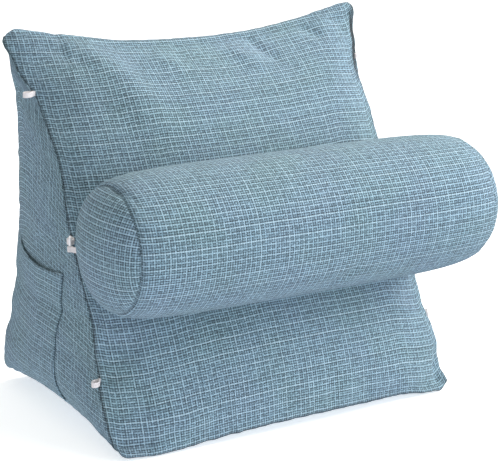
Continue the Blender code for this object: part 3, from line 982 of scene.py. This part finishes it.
white_tape = tape_weave()
for loop_name in SEAM_LOOPS:
    loop = woven_tape(f"tape_loop_{loop_name}", loop_path(loop_name), LOOP_WIDTH)
    loop.data.materials.append(white_tape)
    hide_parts(f"seam_loop_{loop_name}")
    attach(loop, "root")


# Hooks: moulded white plastic, hung over the middle loops. Each has a long shank, a round bight and a
# short tip with a rounded end.
HOOK_THICK, HOOK_SHANK, HOOK_TIP, HOOK_GAP = 0.0030, 0.0125, 0.0055, 0.0005
HOOK_STEPS, HOOK_SIDES, HOOK_END_RINGS, STRAIGHT_STEPS = 16, 20, 5, 6
# A hook's rounded ends stop at this share of its radius: a ring of no size has faces of no area
ROD_END = 0.05


def hook_places(side_name):
    """Where a hook's tip and shank stand, either side of the middle loop's outer fold."""
    seam, out, _ = loop_root(f"{side_name}_middle")
    fold = seam + out * (LOOP_SEAM_GAP + TAPE / 2 + LOOP_REACH)
    clear = out * (TAPE / 2 + HOOK_GAP + HOOK_THICK / 2)
    return fold - clear, fold + clear


def hook_path(side_name):
    tip, shank = hook_places(side_name)
    middle = (tip + shank) / 2
    bight = (tip - shank) / 2
    middle.z += LOOP_WIDTH / 2 + HOOK_GAP + HOOK_THICK / 2 - bight.length / 2
    over = [math.pi * step / HOOK_STEPS for step in range(HOOK_STEPS + 1)]
    bend = [middle + bight * math.cos(turn) + Vector((0, 0, bight.length * math.sin(turn))) for turn in over]
    straight = [step / STRAIGHT_STEPS for step in range(1, STRAIGHT_STEPS + 1)]
    down_tip = [bend[0] - Vector((0, 0, HOOK_TIP * share)) for share in reversed(straight)]
    down_shank = [bend[-1] - Vector((0, 0, HOOK_SHANK * share)) for share in straight]
    return down_tip + bend + down_shank


def rod(name, path, radius):
    """A round rod along a path, with both ends rounded."""
    start, end = (path[0] - path[1]).normalized(), (path[-1] - path[-2]).normalized()
    first, last = path[0] - start * radius, path[-1] - end * radius
    turns = [math.pi / 2 * step / HOOK_END_RINGS for step in range(HOOK_END_RINGS)]
    places = [(first + start * radius * math.cos(turn), math.sin(turn)) for turn in turns]
    places += [(place, 1.0) for place in path[1:-1]]
    places += [(last + end * radius * math.cos(turn), math.sin(turn)) for turn in reversed(turns)]
    sweep = bpy.data.curves.new(name, "CURVE")
    sweep.dimensions = "3D"
    sweep.bevel_depth = radius
    sweep.bevel_resolution = HOOK_SIDES // 4
    sweep.use_fill_caps = True
    spline = sweep.splines.new("POLY")
    spline.points.add(len(places) - 1)
    for point, (place, share) in zip(spline.points, places):
        point.co = (*place, 1)
        point.radius = max(share, ROD_END)
    maker = bpy.data.objects.new(name, sweep)
    bpy.context.scene.collection.objects.link(maker)
    mesh = bpy.data.meshes.new_from_object(maker.evaluated_get(bpy.context.evaluated_depsgraph_get()))
    bpy.data.objects.remove(maker, do_unlink=True)
    piece = bpy.data.objects.new(name, mesh)
    bpy.context.scene.collection.objects.link(piece)
    mesh.shade_smooth()
    return piece


def moulded_plastic():
    plastic = Finish("white_plastic_moulded", Roughness=0.28, Coat_Weight=0.3, Coat_Roughness=0.15)
    place = plastic.node("ShaderNodeTexCoord", {}, {}, out=3)
    cloud = plastic.noise(place, 400.0, 3.0)
    colour = plastic.tint((0.90, 0.88, 0.87, 1), 0.97 + 0.06 * cloud)
    plastic.surface(colour, cloud, 0.00003, roughness=0.22 + 0.14 * cloud)
    return plastic.material


white_plastic = moulded_plastic()
for side_name in SIDES:
    hook = rod(f"plastic_hook_{side_name}", hook_path(side_name), HOOK_THICK / 2)
    hook.data.materials.clear()
    hook.data.materials.append(white_plastic)
    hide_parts(f"bolster_hook_{side_name}")
    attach(hook, "root")


# Tabs: the same tape, folded round each hook's shank and caught in the bolster's end seam.
TAB_WIDTH, TAB_DROP, TAB_LAYERS = 0.006, 0.0067, 0.0007
TAB_STEPS = 8


def tab_path(side_name):
    shank = hook_places(side_name)[1]
    shank.z -= TAB_DROP
    end = roll_axis(ROLL_LEFT if side_name == "left" else ROLL_RIGHT)
    drop = end.z - shank.z
    behind = math.sqrt(ROLL_END_RADIUS ** 2 - drop ** 2)
    root = Vector((end.x, end.y + behind, shank.z))
    run = (shank - root).normalized()
    aside = Vector((-run.y, run.x, 0))
    wrap = HOOK_THICK / 2 + HOOK_GAP + TAPE / 2
    straight = [mix(root, shank, step / TAB_STEPS) for step in range(TAB_STEPS)]
    path = [place + aside * TAB_LAYERS for place in straight]
    for step in range(HOOK_STEPS + 1):
        turn = math.pi * (step / HOOK_STEPS - 0.5)
        path.append(shank + run * wrap * math.cos(turn) - aside * wrap * math.sin(turn))
    return path + [place - aside * TAB_LAYERS for place in reversed(straight)]


for side_name in SIDES:
    tab = woven_tape(f"tape_tab_{side_name}", tab_path(side_name), TAB_WIDTH)
    tab.data.materials.append(white_tape)
    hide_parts(f"bolster_tab_{side_name}")
    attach(tab, "root")


# Studio: a white floor, lit from within like a light table, that runs out of sight under a pale sky.
# The fill from below leans to the front left. Three soft lamps hang to the right, overhead and in front.
FLOOR_REACH = 30
floor_mesh = bpy.data.meshes.new("floor")
corners = [(x * FLOOR_REACH, y * FLOOR_REACH, 0) for x, y in ((-1, -1), (1, -1), (1, 1), (-1, 1))]
floor_mesh.from_pydata(corners, [], [(0, 1, 2, 3)])
floor = bpy.data.objects.new("floor", floor_mesh)
floor.visible_diffuse = floor.visible_glossy = floor.visible_shadow = False
bpy.context.scene.collection.objects.link(floor)
pale = Finish("studio_floor", Roughness=0.95, Base_Color=(0.9, 0.9, 0.9, 1), Specular_IOR_Level=0.0,
              Emission_Color=(1, 1, 1, 1), Emission_Strength=0.5)
floor_mesh.materials.append(pale.material)

SKY_ABOVE, SKY_BELOW, BELOW_LEAN = 0.69, 0.96, 0.60
world = bpy.data.worlds.new("studio_sky")
world.use_nodes = True
sky = Nodes(world.node_tree)
way = sky.node("ShaderNodeTexCoord", {}, {})
below = sky.node("ShaderNodeSeparateXYZ", {}, {0: way}, out=2) < 0
lean = sky.node("ShaderNodeVectorMath", {"operation": "DOT_PRODUCT"}, {0: way, 1: (-0.80, -0.60, 0.0)}, out=1)
light_below = SKY_BELOW * (1 + BELOW_LEAN * lean)
background = world.node_tree.nodes["Background"]
sky.feed(background.inputs["Color"], sky.blend(below, (0.99, 1.0, 0.98, 1), (0.97, 1.0, 1.10, 1)))
sky.feed(background.inputs["Strength"], SKY_ABOVE + (light_below - SKY_ABOVE) * below)
bpy.context.scene.world = world
bpy.context.scene.view_settings.view_transform = "Standard"

LAMP_AIM = Vector((0, 0, 0.2))
Lamp = namedtuple("Lamp", "name place watts colour")
for lamp in (
    Lamp("lamp_right", (1.6, -0.6, 1.0), 28, (1.0, 0.95, 0.92)),
    Lamp("lamp_overhead", (0.8, 0.5, 1.9), 24, (1.0, 0.98, 0.97)),
    Lamp("lamp_front", (1.2, -2.0, 0.6), 25, (0.95, 1.0, 1.10)),
):
    disc = bpy.data.lights.new(lamp.name, "AREA")
    disc.shape = "DISK"
    disc.size = 1.0
    disc.energy = lamp.watts
    disc.color = lamp.colour
    shine = bpy.data.objects.new(lamp.name, disc)
    shine.location = lamp.place
    shine.rotation_euler = (LAMP_AIM - shine.location).to_track_quat("-Z", "Y").to_euler()
    bpy.context.scene.collection.objects.link(shine)
